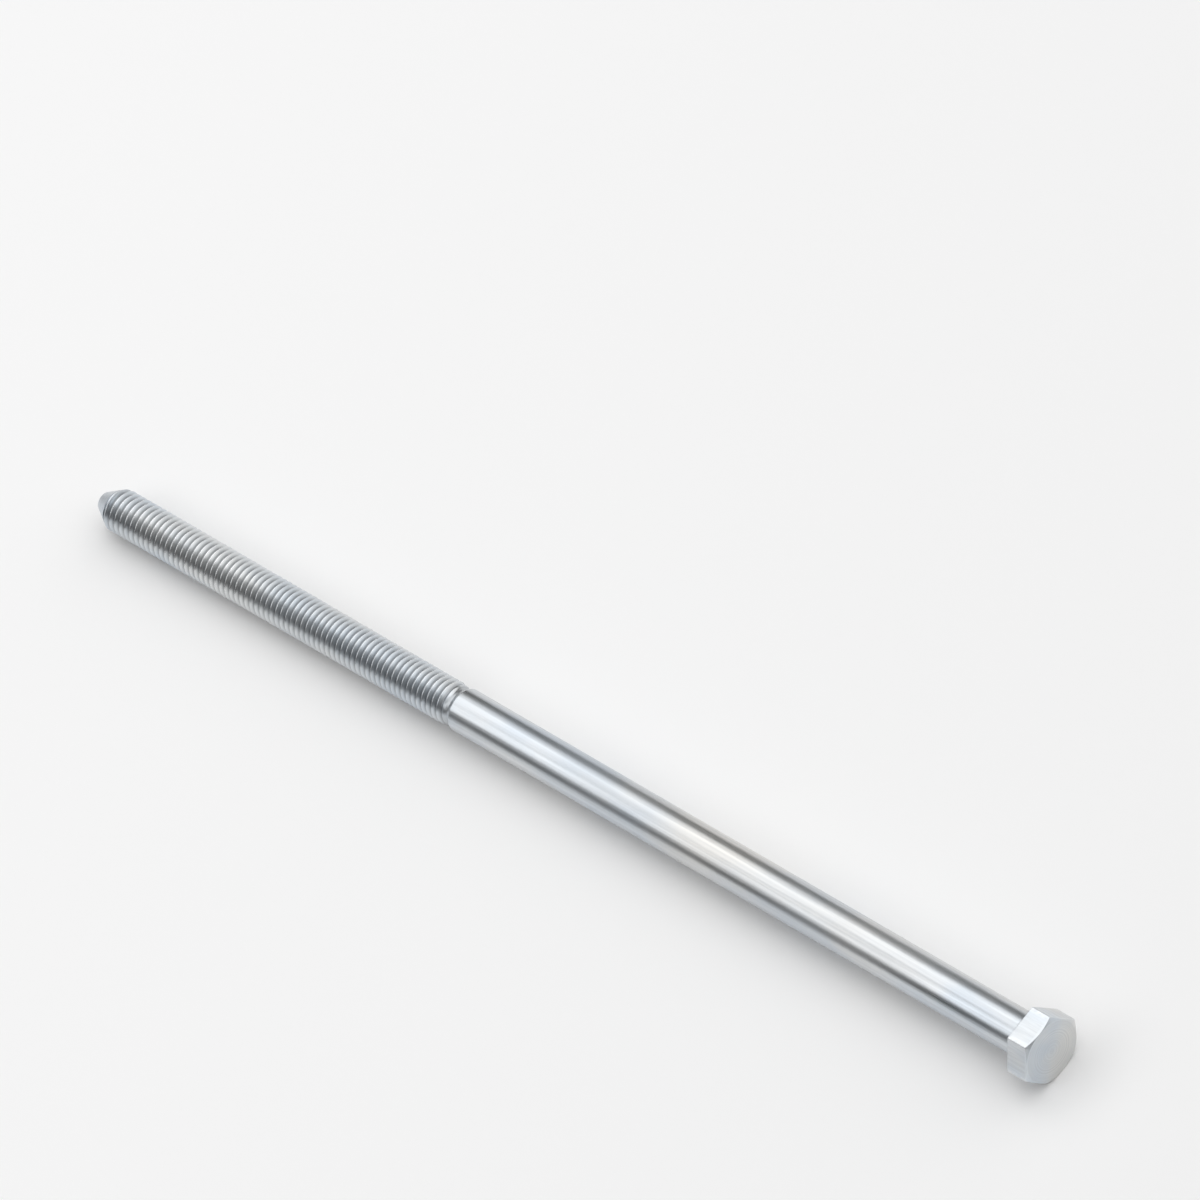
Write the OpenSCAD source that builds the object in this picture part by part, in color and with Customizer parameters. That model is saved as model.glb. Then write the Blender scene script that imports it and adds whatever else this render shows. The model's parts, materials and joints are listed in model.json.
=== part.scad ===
// Long hexagon-head cap screw: one piece of steel, cold-headed from bar, with a plain shank, a rolled
// thread on its far end and a turned cone point. Millimetres.
//
// The axis lies along X. The origin is the centre of the bearing face under the head, +X runs down the
// shank to the point, and the lowest flat of the hexagon faces -Z, as the screw lies on a bench.
// The thread is drawn as its crest cylinder: the helix itself is finer than this model shows.

/* [Head] */
// Width of the hexagon across its flats
head_flats = 19.05; // [15:0.01:36]
// Height of the head, washer face included
head_height = 7.94; // [4:0.01:20]
// Angle of the chamfer that rounds the corners, measured from the flat top
chamfer_angle = 30; // [15:1:40]
// How far the round edge of the flat top stays inside the flats
crown_inset = 0.08; // [0:0.01:1.4]
// Height of the round washer face under the hexagon
washer_face_height = 0.4; // [0.1:0.05:1]
// How far the edge of the washer face stays inside the flats
washer_face_inset = 0.5; // [0.1:0.05:1]

/* [Shank] */
// Diameter of the plain shank
shank_d = 12.7; // [8:0.1:16]
// Length under the head, to the very end of the point
length = 355.6; // [180:0.1:600]
// Radius of the fillet between the shank and the washer face
fillet_r = 0.6; // [0.2:0.1:1]

/* [Thread] */
// Length from the end of the plain shank to the very end of the point
thread_length = 139.7; // [30:0.1:170]
// Distance from one crest to the next
pitch = 1.954; // [0.8:0.001:2.5]
// How much smaller the crests are than the plain shank, in diameter
crest_relief = 0.1; // [0.02:0.01:0.4]
// Angle of the shoulder where the plain shank steps down to the rolled blank, from the axis
shoulder_angle = 30; // [15:5:60]
// Width of the bare blank between that shoulder and the first turn
neck_width = 0.8; // [0.2:0.1:2]
// Turns that the first threads take to grow to their full height
run_out_turns = 1.5; // [0.5:0.25:3]

/* [Point] */
// Diameter of the flat end of the point
point_d = 5.5; // [1:0.1:7]
// Angle of the cone, side to side
point_angle = 60; // [40:5:120]

/* [Hidden] */
$fn = 96;

// Head: the washer face and the flat top are both turned, so they share the axis with the shank.
washer_face_r = head_flats / 2 - washer_face_inset;
crown_r = head_flats / 2 - crown_inset;

// Thread of 60 degrees: before it is rolled, the blank is as thick as the thread's pitch circle, which
// lies three eighths of a sharp thread's height below the crests.
sharp_height = pitch * cos(30);
shank_r = shank_d / 2;
crest_r = shank_r - crest_relief / 2;
blank_r = crest_r - 3 / 8 * sharp_height;

// Stations along the axis, from the head's bearing face.
shank_end = length - thread_length;
neck_start = shank_end + (shank_r - blank_r) / tan(shoulder_angle);
neck_end = neck_start + neck_width;
thread_start = neck_end + run_out_turns * pitch;
point_start = length - (crest_r - point_d / 2) / tan(point_angle / 2);

// Hexagon with its corners cut back by a cone from the flat top, on the axis from z = -head_height.
module hexagon_head() {
    flare = head_height / tan(chamfer_angle);
    intersection() {
        translate([0, 0, -head_height])
            rotate([0, 0, 30])
                linear_extrude(head_height - washer_face_height)
                    circle(d = head_flats / cos(30), $fn = 6);
        translate([0, 0, -head_height])
            cylinder(h = head_height, r1 = crown_r, r2 = crown_r + flare);
    }
}

// Half section of the washer face, which reaches up into the hexagon.
module washer_face_section() {
    translate([0, -head_height / 2])
        square([washer_face_r, head_height / 2]);
}

// Half section of the corner filled by the fillet, where the shank leaves the washer face.
module fillet_section() {
    translate([shank_r, 0])
        difference() {
            square(fillet_r);
            translate([fillet_r, fillet_r]) circle(fillet_r);
        }
}

// Half section of the shank, the neck, the crests of the thread and the point, end to end.
module shank_section() {
    polygon([
        [0, 0],
        [shank_r, 0],
        [shank_r, shank_end],
        [blank_r, neck_start],
        [blank_r, neck_end],
        [crest_r, thread_start],
        [crest_r, point_start],
        [point_d / 2, length],
        [0, length]
    ]);
}

module turned_body() {
    rotate_extrude() {
        washer_face_section();
        fillet_section();
        shank_section();
    }
}

module cap_screw() {
    color("gainsboro")
        rotate([0, 90, 0]) {
            hexagon_head();
            turned_body();
        }
}

cap_screw();
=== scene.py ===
import json
import math

import bmesh
import bpy
from mathutils import Matrix, Vector


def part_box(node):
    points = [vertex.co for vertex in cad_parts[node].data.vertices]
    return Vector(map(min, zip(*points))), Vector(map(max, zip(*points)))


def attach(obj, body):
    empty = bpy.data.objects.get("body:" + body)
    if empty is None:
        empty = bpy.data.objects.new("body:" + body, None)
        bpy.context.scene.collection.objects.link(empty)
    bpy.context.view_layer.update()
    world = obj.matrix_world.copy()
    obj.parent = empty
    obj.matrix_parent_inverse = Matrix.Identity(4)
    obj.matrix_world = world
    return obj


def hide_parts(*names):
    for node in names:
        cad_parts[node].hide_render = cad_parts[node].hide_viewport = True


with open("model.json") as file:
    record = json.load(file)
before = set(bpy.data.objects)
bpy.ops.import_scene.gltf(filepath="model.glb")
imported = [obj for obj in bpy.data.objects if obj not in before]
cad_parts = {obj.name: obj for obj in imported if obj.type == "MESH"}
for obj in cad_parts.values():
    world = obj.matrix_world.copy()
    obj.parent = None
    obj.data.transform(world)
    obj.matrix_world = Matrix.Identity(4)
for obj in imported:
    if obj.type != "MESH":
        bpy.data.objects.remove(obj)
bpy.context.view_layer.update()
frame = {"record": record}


# THE CAP SCREW
# One piece of low-carbon steel bar, half an inch thick and 14 inches long under its head. All of it is
# headed, turned or rolled round one axis, +X, so its outline is drawn here feature by feature, from the
# flat top to the tip. A place on the outline is a Vector of its distance along X and from the axis.
low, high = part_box("cap_screw")
fits = {mount["name"]: mount["dims"] for mount in frame["record"]["mounts"]}


def eased(corners, radii, steps=3):
    """The line through these corners, with an arc of its own radius round each but the first and last.

    An arc takes up less than half of the shorter side next to it, so that two arcs never meet.
    """
    line = [corners[0]]
    for before, corner, after, radius in zip(corners, corners[1:], corners[2:], radii):
        back = before - corner
        ahead = after - corner
        half_turn = (math.pi - back.angle(ahead)) / 2
        reach = min(radius * math.tan(half_turn), 0.45 * min(back.length, ahead.length))
        arc_start = corner + reach * back.normalized()
        arc_end = corner + reach * ahead.normalized()
        for step in range(steps + 1):
            t = step / steps
            start_pull = (1 - t) ** 2
            corner_pull = 2 * t * (1 - t) * math.cos(half_turn)
            end_pull = t ** 2
            pulled = start_pull * arc_start + corner_pull * corner + end_pull * arc_end
            line.append(pulled / (start_pull + corner_pull + end_pull))
    return line + [corners[-1]]


# The head: a header upsets the end of the bar into a hexagon over a thin round washer face. The flat
# top and its chamfer are turned, and a trimming die shears the six flats.
head_top = low.x
hexagon_r = (high.z - low.z) / 2
hexagon_corner_r = 0.00035
top_inset = 0.00008
top_r = hexagon_r - top_inset
top_rings = [share * top_r for share in (0, 0.3, 0.6, 0.9)]
chamfer_slope = math.tan(math.radians(30))
turned_edge_r = 0.00015
trimmed_edge_r = 0.00018
washer_face_h = 0.0004
washer_face_inset = 0.0005
washer_face_r = hexagon_r - washer_face_inset
washer_face_edge_r = 0.00012
bare_rim = 0.0001

# Directions round the axis are in degrees from the middle of the lowest flat. What is turned has them
# evenly spaced. The hexagon has them close together at its rounded corners, which start at flat_end.
flat_end = math.degrees(math.atan((1 - hexagon_corner_r / hexagon_r) * math.tan(math.radians(30))))
flat_steps = 6
half_flat = [flat_end * step / flat_steps for step in range(flat_steps + 1)]
half_side = half_flat + [(flat_end + 30) / 2]
one_side = half_side + [30] + [60 - degrees for degrees in reversed(half_side[1:])]
sided_directions = [60 * side + degrees for side in range(6) for degrees in one_side]
lines_round = len(sided_directions)
even_directions = [360 * line / lines_round for line in range(lines_round)]


def hexagon_side(degrees):
    """How far the side of the hexagon is from the axis in this direction."""
    from_middle = math.radians(abs((degrees + 30) % 60 - 30))
    if from_middle <= math.radians(flat_end):
        return hexagon_r / math.cos(from_middle)
    from_corner = math.radians(30) - from_middle
    arc_centre = (hexagon_r - hexagon_corner_r) / math.cos(math.radians(30))
    aside = arc_centre * math.sin(from_corner)
    return arc_centre * math.cos(from_corner) + math.sqrt(hexagon_corner_r ** 2 - aside ** 2)


def hexagon_line(degrees):
    """The head's outline in this direction, from near the rim of the flat top to the washer face."""
    side_r = hexagon_side(degrees)
    return eased([
        Vector((head_top, top_rings[-1])),
        Vector((head_top, top_r)),
        Vector((head_top + (side_r - top_r) * chamfer_slope, side_r)),
        Vector((-washer_face_h, side_r)),
        Vector((-washer_face_h, washer_face_r + bare_rim)),
    ], [turned_edge_r, turned_edge_r, trimmed_edge_r])


# The shank: under the head the bar keeps its full thickness, with a fillet at the washer face. Where
# the thread will be it is drawn down to a thinner blank, which shows as a short cone and a bare neck.
shank_r = fits["shank"]["r_mm"] / 1000
fillet_r = 0.0006
shank_end = fillet_r + fits["shank"]["length_mm"] / 1000
crest_r = fits["thread"]["r_mm"] / 1000
pitch = 0.001954
sharp_depth = pitch * math.cos(math.radians(30))
blank_r = crest_r - 3 / 8 * sharp_depth
shoulder_slope = math.tan(math.radians(30))
shoulder_edge_r = 0.0004
neck_width = 0.0008
neck_start = shank_end + (shank_r - blank_r) / shoulder_slope
neck_end = neck_start + neck_width
shank_rings = 48
ring_gap = shank_end / shank_rings
shank_line = eased([
    Vector((-washer_face_h, washer_face_r)),
    Vector((0, washer_face_r)),
    Vector((0, shank_r)),
    Vector((ring_gap, shank_r)),
], [washer_face_edge_r, fillet_r], steps=5)
shank_line += [Vector((ring_gap * ring, shank_r)) for ring in range(2, shank_rings)]
shank_line += eased([
    Vector((shank_end - ring_gap / 2, shank_r)),
    Vector((shank_end, shank_r)),
    Vector((neck_start, blank_r)),
    Vector((neck_end, blank_r)),
], [shoulder_edge_r, shoulder_edge_r])

# The thread: rolled between flat dies, right hand, with 60 degree flanks, a rounded root and a flat crest
# an eighth of the pitch wide. The dies press it to its full height over its first turn and a half.
rolled_in_turns = 1.5
thread_start = neck_end + rolled_in_turns * pitch
flank_slope = 1 / math.tan(math.radians(30))
crest_edge = pitch * 7 / 16
crest_ease = 0.00005
flank_top = crest_edge - crest_ease * math.sin(math.radians(30))
flank_top_depth = crest_ease * math.cos(math.radians(30))
crest_side = crest_edge + crest_ease
root_round_r = sharp_depth / 6
root_reach = root_round_r * math.cos(math.radians(30))
root_centre_depth = crest_edge * flank_slope - 2 * root_round_r


def thread_depth(from_root):
    """How far the thread is below its crests, at this distance along X from the middle of a root."""
    if from_root < root_reach:
        return root_centre_depth + math.sqrt(root_round_r ** 2 - from_root ** 2)
    if from_root < flank_top:
        return (crest_edge - from_root) * flank_slope
    return flank_top_depth * max(0, crest_side - from_root) / (crest_side - flank_top)


def thread_radius(x, turned):
    """Radius of the thread at x, in a direction this share of a turn round the axis."""
    from_root = abs((x - thread_start - pitch * (turned + 0.5)) % pitch - pitch / 2)
    rolled = min(1, max(0, (x - neck_end) / (thread_start - neck_end)))
    return blank_r + rolled * (crest_r - thread_depth(from_root) - blank_r)


# The point: a cone of 60 degrees with a small flat at its tip. It is turned after the thread is rolled,
# so it cuts through the last turns, and leaves of them only what lies inside the cone.
point_end = high.x
point_r = 0.00275
point_edge_r = 0.0002
tip_ring_r = 0.4 * point_r
point_slope = math.tan(math.radians(30))
point_start = point_end - (crest_r - point_r) / point_slope
tip_line = eased([
    Vector((point_start, crest_r)),
    Vector((point_end, point_r)),
    Vector((point_end, tip_ring_r)),
], [point_edge_r])[1:]


def above_cone(place):
    """How far a place on the thread's outline is outside the cone. It is less than 0 inside."""
    return place.y - point_r - (point_end - place.x) * point_slope


# The skin: one closed surface, made of lines that run from the middle of the flat top to the middle of
# the tip, one in each direction. A line has a point wherever it crosses one of the edges that wind along
# the thread. It also has one where each turn comes out of the cone, and one where the turn dips back.
winding_edges = [
    -root_reach / 2, 0, root_reach / 2, root_reach, flank_top,
    crest_side, pitch - crest_side, pitch - flank_top, pitch - root_reach,
]
turns = range(
    math.floor((neck_end - thread_start) / pitch) - 1,
    math.ceil((point_end - thread_start) / pitch),
)
least_gap = 0.00003


def screw_line(number):
    """One line's points, each with a key that its neighbours share, its place and its direction."""
    turned = number / lines_round
    sided = sided_directions[number % lines_round]
    even = even_directions[number % lines_round]
    rings = [(Vector((head_top, ring_r)), even) for ring_r in top_rings[:-1]]
    rings += [(place, sided) for place in hexagon_line(sided)]
    rings += [(place, even) for place in shank_line]
    points = [(f"head {ring}", place, direction) for ring, (place, direction) in enumerate(rings)]
    thread = []
    for turn in turns:
        for edge, offset in enumerate(winding_edges):
            x = thread_start + pitch * (turn + turned) + offset
            if x > neck_end + least_gap:
                thread.append((turn, edge, Vector((x, thread_radius(x, turned)))))
    for (turn, edge, place), (*_, next_place) in zip(thread, thread[1:]):
        above = above_cone(place)
        next_above = above_cone(next_place)
        if above < 0:
            points.append((f"turn {turn} edge {edge}", place, even))
        if above * next_above < 0:
            way = "out" if above < 0 else "back"
            crossing = place.lerp(next_place, above / (above - next_above))
            points.append((f"turn {turn} {way}", crossing, even))
    rings = tip_line + [Vector((point_end, 0))]
    return points + [(f"tip {ring}", place, even) for ring, place in enumerate(rings)]


skin = bmesh.new()
lines = []
for number in range(lines_round + 1):
    line = {}
    along = 0
    last = Vector((head_top, 0))
    for key, place, degrees in screw_line(number):
        angle = math.radians(degrees)
        along += (place - last).length
        last = place
        point = skin.verts.new((place.x, place.y * math.sin(angle), -place.y * math.cos(angle)))
        line[key] = point, along, number / lines_round
    lines.append(line)

# Each face runs from one key that two neighbouring lines share to the next one. The finish is baked
# through a map with the surface unrolled on it, cut into four lengths that lie side by side. A length
# has room at its end for the ring of faces that the cut falls in.
bake_map = skin.loops.layers.uv.new("OFBake")
map_rows = 4
map_length = max(along for point, along, turned in lines[0].values()) / map_rows
map_margin = 0.01
for line, neighbour in zip(lines, lines[1:]):
    keys = list(line)
    neighbour_keys = list(neighbour)
    shared = [key for key in keys if key in neighbour]
    for first, last in zip(shared, shared[1:]):
        near = keys[keys.index(first):keys.index(last) + 1]
        far = neighbour_keys[neighbour_keys.index(first):neighbour_keys.index(last) + 1]
        corners = [neighbour[key] for key in far] + [line[key] for key in reversed(near)]
        face = skin.faces.new([point for point, along, turned in corners])
        row = int(min(along for point, along, turned in corners) / map_length)
        for loop, (point, along, turned) in zip(face.loops, corners):
            along_row = (along - row * map_length) / (map_length + ring_gap)
            across_row = map_margin + (1 - 2 * map_margin) * turned
            loop[bake_map].uv = along_row, (row + across_row) / map_rows
        face.smooth = True
bmesh.ops.remove_doubles(skin, verts=skin.verts, dist=1e-6)
screw_mesh = bpy.data.meshes.new("cap_screw_finished")
skin.to_mesh(screw_mesh)
skin.free()
screw_mesh.set_sharp_from_angle(angle=math.radians(50))
screw = bpy.data.objects.new("cap_screw_finished", screw_mesh)
bpy.context.scene.collection.objects.link(screw)
even_shading = screw.modifiers.new("even_shading", "WEIGHTED_NORMAL")
even_shading.keep_sharp = True
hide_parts("cap_screw")
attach(screw, "root")


# The finish: clear zinc plate, a few thousandths of a millimetre of bright bluish metal, which follows
# every mark that the tools left in the steel. It comes out of the plating barrel satin and cloudy,
# a little rougher deep in the thread and rubbed bright on the corners and crests. Deep in the thread the
# colour is also painted much darker, as painted shade in the roots.
finish = bpy.data.materials.new("zinc_plate")
finish.use_nodes = True
nodes = finish.node_tree.nodes
links = finish.node_tree.links


def node(kind, inputs, **settings):
    """A new shader node. Each input is a number, a tuple or another node's output."""
    made = nodes.new("ShaderNode" + kind)
    for name, value in settings.items():
        setattr(made, name, value)
    for socket, value in inputs.items():
        if isinstance(value, bpy.types.NodeSocket):
            links.new(value, made.inputs[socket])
        else:
            made.inputs[socket].default_value = value
    return made


position = node("TexCoord", {}).outputs["Object"]
axes = node("SeparateXYZ", {"Vector": position}).outputs
along_axis = axes["X"]
off_axis = node("CombineXYZ", {"Y": axes["Y"], "Z": axes["Z"]}).outputs["Vector"]
from_axis = node("VectorMath", {0: off_axis}, operation="LENGTH").outputs["Value"]


def grain(length, width, detail):
    """Noise in grains this long along the axis and this wide across it."""
    sizes = (1 / length, 1 / width, 1 / width)
    sized = node("Mapping", {"Vector": position, "Scale": sizes}).outputs["Vector"]
    return node("TexNoise", {"Vector": sized, "Scale": 1, "Detail": detail}).outputs["Fac"]


def turned_rings(measure, width):
    """Noise in rings this wide, one after another along the measure."""
    rings = node("TexNoise", {"W": measure, "Scale": 1 / width, "Detail": 3}, noise_dimensions="1D")
    return rings.outputs["Fac"]


def carried(source, low_in, high_in, low_out=0.0, high_out=1.0):
    """The source carried from one range to another, and held within it."""
    ranges = {"From Min": low_in, "From Max": high_in, "To Min": low_out, "To Max": high_out}
    return node("MapRange", {"Value": source, **ranges}).outputs["Result"]


def product(first, second):
    return node("Math", {0: first, 1: second}, operation="MULTIPLY").outputs["Value"]


def total(first, second):
    return node("Math", {0: first, 1: second}, operation="ADD").outputs["Value"]


def painted(under, share, over):
    """One colour over another, as thickly as this share. A Mix node's colours are sockets 6, 7 and 2."""
    return node("Mix", {0: share, 6: under, 7: over}, data_type="RGBA").outputs[2]


def relief(height, depth, **under):
    """The surface with these heights, from 0 to 1, raised on it by up to this many metres."""
    return node("Bump", {"Height": height, "Distance": depth, **under}).outputs["Normal"]


def between(start, end, fade=0.0003):
    """1 along this stretch of the axis and 0 beyond it."""
    return product(carried(along_axis, start - fade, start), carried(along_axis, end, end + fade, 1, 0))


# Tool marks: lines drawn along the shank, lines that the die sheared along the flats, and fine turned
# rings on the flat top, the washer face and the point.
edge_width = 0.00005
on_flats = product(
    between(head_top + 0.001, -washer_face_h),
    carried(from_axis, top_r - edge_width, top_r + edge_width),
)
on_washer_face = product(
    between(-washer_face_h, 0),
    carried(from_axis, shank_r + fillet_r - edge_width, shank_r + fillet_r + edge_width),
)
on_flat_top = between(head_top - 0.001, head_top + 0.0001)
kinds_of_mark = [
    (grain(length=0.064, width=0.00077, detail=2), between(fillet_r, shank_end)),
    (grain(length=0.011, width=0.00067, detail=2), on_flats),
    (turned_rings(from_axis, width=0.00042), total(on_flat_top, on_washer_face)),
    (turned_rings(along_axis, width=0.00038), between(point_start, point_end)),
]
marks = 0
for mark, where in kinds_of_mark:
    marks = total(marks, product(carried(mark, 0.36, 0.64), where))

bluish = (0.60, 0.65, 0.70, 1)
neutral = (0.70, 0.715, 0.72, 1)
straw = (0.72, 0.70, 0.66, 1)
scratched = (0.46, 0.48, 0.50, 1)
# Painted shade: the dark colour laid into the roots of the thread.
painted_root_shade = (0.22, 0.23, 0.24, 1)
bright = (0.80, 0.815, 0.83, 1)
in_thread = between(neck_end, point_start)
root_r = crest_r - thread_depth(0)
in_roots = carried(from_axis, root_r + 0.0001, root_r + 0.0009, 1, 0)
roots = product(in_roots, between(neck_start, point_start + 0.001))
crests = product(carried(from_axis, crest_r - 0.00012, crest_r - 0.00002), in_thread)
corner_r = hexagon_side(30)
corners = carried(from_axis, corner_r - 0.00065, corner_r - 0.00015)
rub_patches = carried(grain(length=0.0011, width=0.0011, detail=2), 0.35, 0.65, 0.3, 1)
rubbed = product(total(corners, crests), rub_patches)
neutral_clouds = carried(grain(length=0.036, width=0.018, detail=3), 0.40, 0.60)
straw_clouds = carried(grain(length=0.076, width=0.030, detail=2), 0.52, 0.72, 0, 0.7)
colour = painted(bluish, neutral_clouds, neutral)
colour = painted(colour, straw_clouds, straw)
colour = painted(colour, product(marks, 0.30), scratched)
# Painted shade: the roots of the thread are painted darker, for the shade deep in the grooves.
colour = painted(colour, product(roots, 0.75), painted_root_shade)
colour = painted(colour, product(rubbed, 0.60), bright)
satin = carried(grain(length=0.048, width=0.017, detail=1), 0.35, 0.65, 0.27, 0.33)
roughness = total(satin, total(product(marks, 0.06), product(roots, 0.15)))
ripples = relief(grain(length=0.0063, width=0.0063, detail=2), depth=0.00003)
plate = nodes["Principled BSDF"].inputs
plate["Metallic"].default_value = 1
links.new(colour, plate["Base Color"])
links.new(roughness, plate["Roughness"])
links.new(relief(marks, depth=0.00001, Normal=ripples), plate["Normal"])
screw_mesh.materials.append(finish)


# THE BENCH
# A wide matt white board. The screw lies on the lowest flat of its head and on the crests of its last
# turns, which are nearer its axis, so the board is tilted half a degree to meet both.
bench_r = 6
rest_near = Vector((-washer_face_h, 0, low.z))
rest_far = Vector((point_start, 0, -crest_r))
board = bmesh.new()
bmesh.ops.create_circle(board, cap_ends=True, segments=96, radius=bench_r)
bench_mesh = bpy.data.meshes.new("bench")
board.to_mesh(bench_mesh)
board.free()
bench = bpy.data.objects.new("bench", bench_mesh)
bench.location = rest_near
bench.rotation_euler.y = -math.atan2(rest_far.z - rest_near.z, rest_far.x - rest_near.x)
bpy.context.scene.collection.objects.link(bench)
white_paint = bpy.data.materials.new("white_paint")
white_paint.use_nodes = True
paint = white_paint.node_tree.nodes["Principled BSDF"].inputs
paint["Base Color"].default_value = (0.95, 0.95, 0.95, 1)
paint["Roughness"].default_value = 0.9
paint["Specular IOR Level"].default_value = 0.1
bench_mesh.materials.append(white_paint)


# THE LIGHT
# A plain white studio: one broad soft key, which gives the shadow, and two panels, of which the overhead
# one draws the bright stripe down the shank. Between the pale horizon and the pale ceiling is a dark
# band, which the metal mirrors as dark lines along its edges.
middle = (low + high) / 2
panel_distance = 2.4


def hang(lamp, direction):
    """Hangs the lamp where it shines on the middle of the screw from this direction."""
    hung = bpy.data.objects.new(lamp.name, lamp)
    hung.location = middle + panel_distance * Vector(direction).normalized()
    hung.rotation_euler = Vector(direction).to_track_quat("Z", "Y").to_euler()
    bpy.context.scene.collection.objects.link(hung)


def hang_panel(name, direction, length, width, brightness):
    """Hangs a soft panel, which looks this bright beside white paint in plain light."""
    lamp = bpy.data.lights.new(name, "AREA")
    lamp.shape = "RECTANGLE"
    lamp.size = length
    lamp.size_y = width
    lamp.energy = brightness * math.pi * length * width
    hang(lamp, direction)


key = bpy.data.lights.new("key", "SUN")
key.energy = 1.42
key.angle = math.radians(88)
hang(key, (-0.35, -0.60, 0.72))
hang_panel("overhead_panel", (0.55, -0.25, 0.80), length=2.0, width=1.3, brightness=1.18)
hang_panel("side_panel", (0.50, 0.52, 0.70), length=2.0, width=1.0, brightness=1.2)

# Each step is the sine of a height above the horizon, and the brightness of the studio there.
studio_steps = [
    (0.0, 0.71), (0.04, 0.45), (0.07, 0.06), (0.30, 0.06),
    (0.50, 0.26), (0.72, 0.60), (0.84, 0.28), (1.0, 1.00),
]
studio = bpy.data.worlds.new("studio")
studio.use_nodes = True
bpy.context.scene.world = studio
studio_nodes = studio.node_tree.nodes
studio_links = studio.node_tree.links
heading = studio_nodes.new("ShaderNodeTexCoord")
heading_axes = studio_nodes.new("ShaderNodeSeparateXYZ")
ramp = studio_nodes.new("ShaderNodeValToRGB")
steps = ramp.color_ramp.elements
while len(steps) < len(studio_steps):
    steps.new(1)
for step, (height_sine, brightness) in zip(steps, studio_steps):
    step.position = height_sine
    step.color = (brightness, brightness, brightness, 1)
studio_links.new(heading.outputs["Generated"], heading_axes.inputs["Vector"])
studio_links.new(heading_axes.outputs["Z"], ramp.inputs["Fac"])
studio_links.new(ramp.outputs["Color"], studio_nodes["Background"].inputs["Color"])


# THE CAMERA
# An isometric view, from above the head: the axis, one upper flat of the hexagon and the corner square
# to it are all seen at the same slant. The lens is so long that parallel edges look parallel.
flat_direction = Vector((0, math.cos(math.radians(30)), math.sin(math.radians(30))))
corner_direction = Vector((0, -math.sin(math.radians(30)), math.cos(math.radians(30))))
toward_camera = (flat_direction + corner_direction - Vector((1, 0, 0))).normalized()
view_right = corner_direction.cross(toward_camera).normalized()
view_up = toward_camera.cross(view_right)
view_width = 0.3256
right_of_screw = 0.0071
above_screw = 0.0471
aim = middle + right_of_screw * view_right + above_screw * view_up
optics = bpy.data.cameras.new("camera")
optics.lens = 1200
optics.clip_end = 100
distance = view_width * optics.lens / optics.sensor_width
camera = bpy.data.objects.new("camera", optics)
camera.location = aim + distance * toward_camera
camera.rotation_euler = Matrix((view_right, view_up, toward_camera)).transposed().to_euler()
bpy.context.scene.collection.objects.link(camera)
bpy.context.scene.camera = camera

bpy.context.scene.view_settings.view_transform = "Standard"
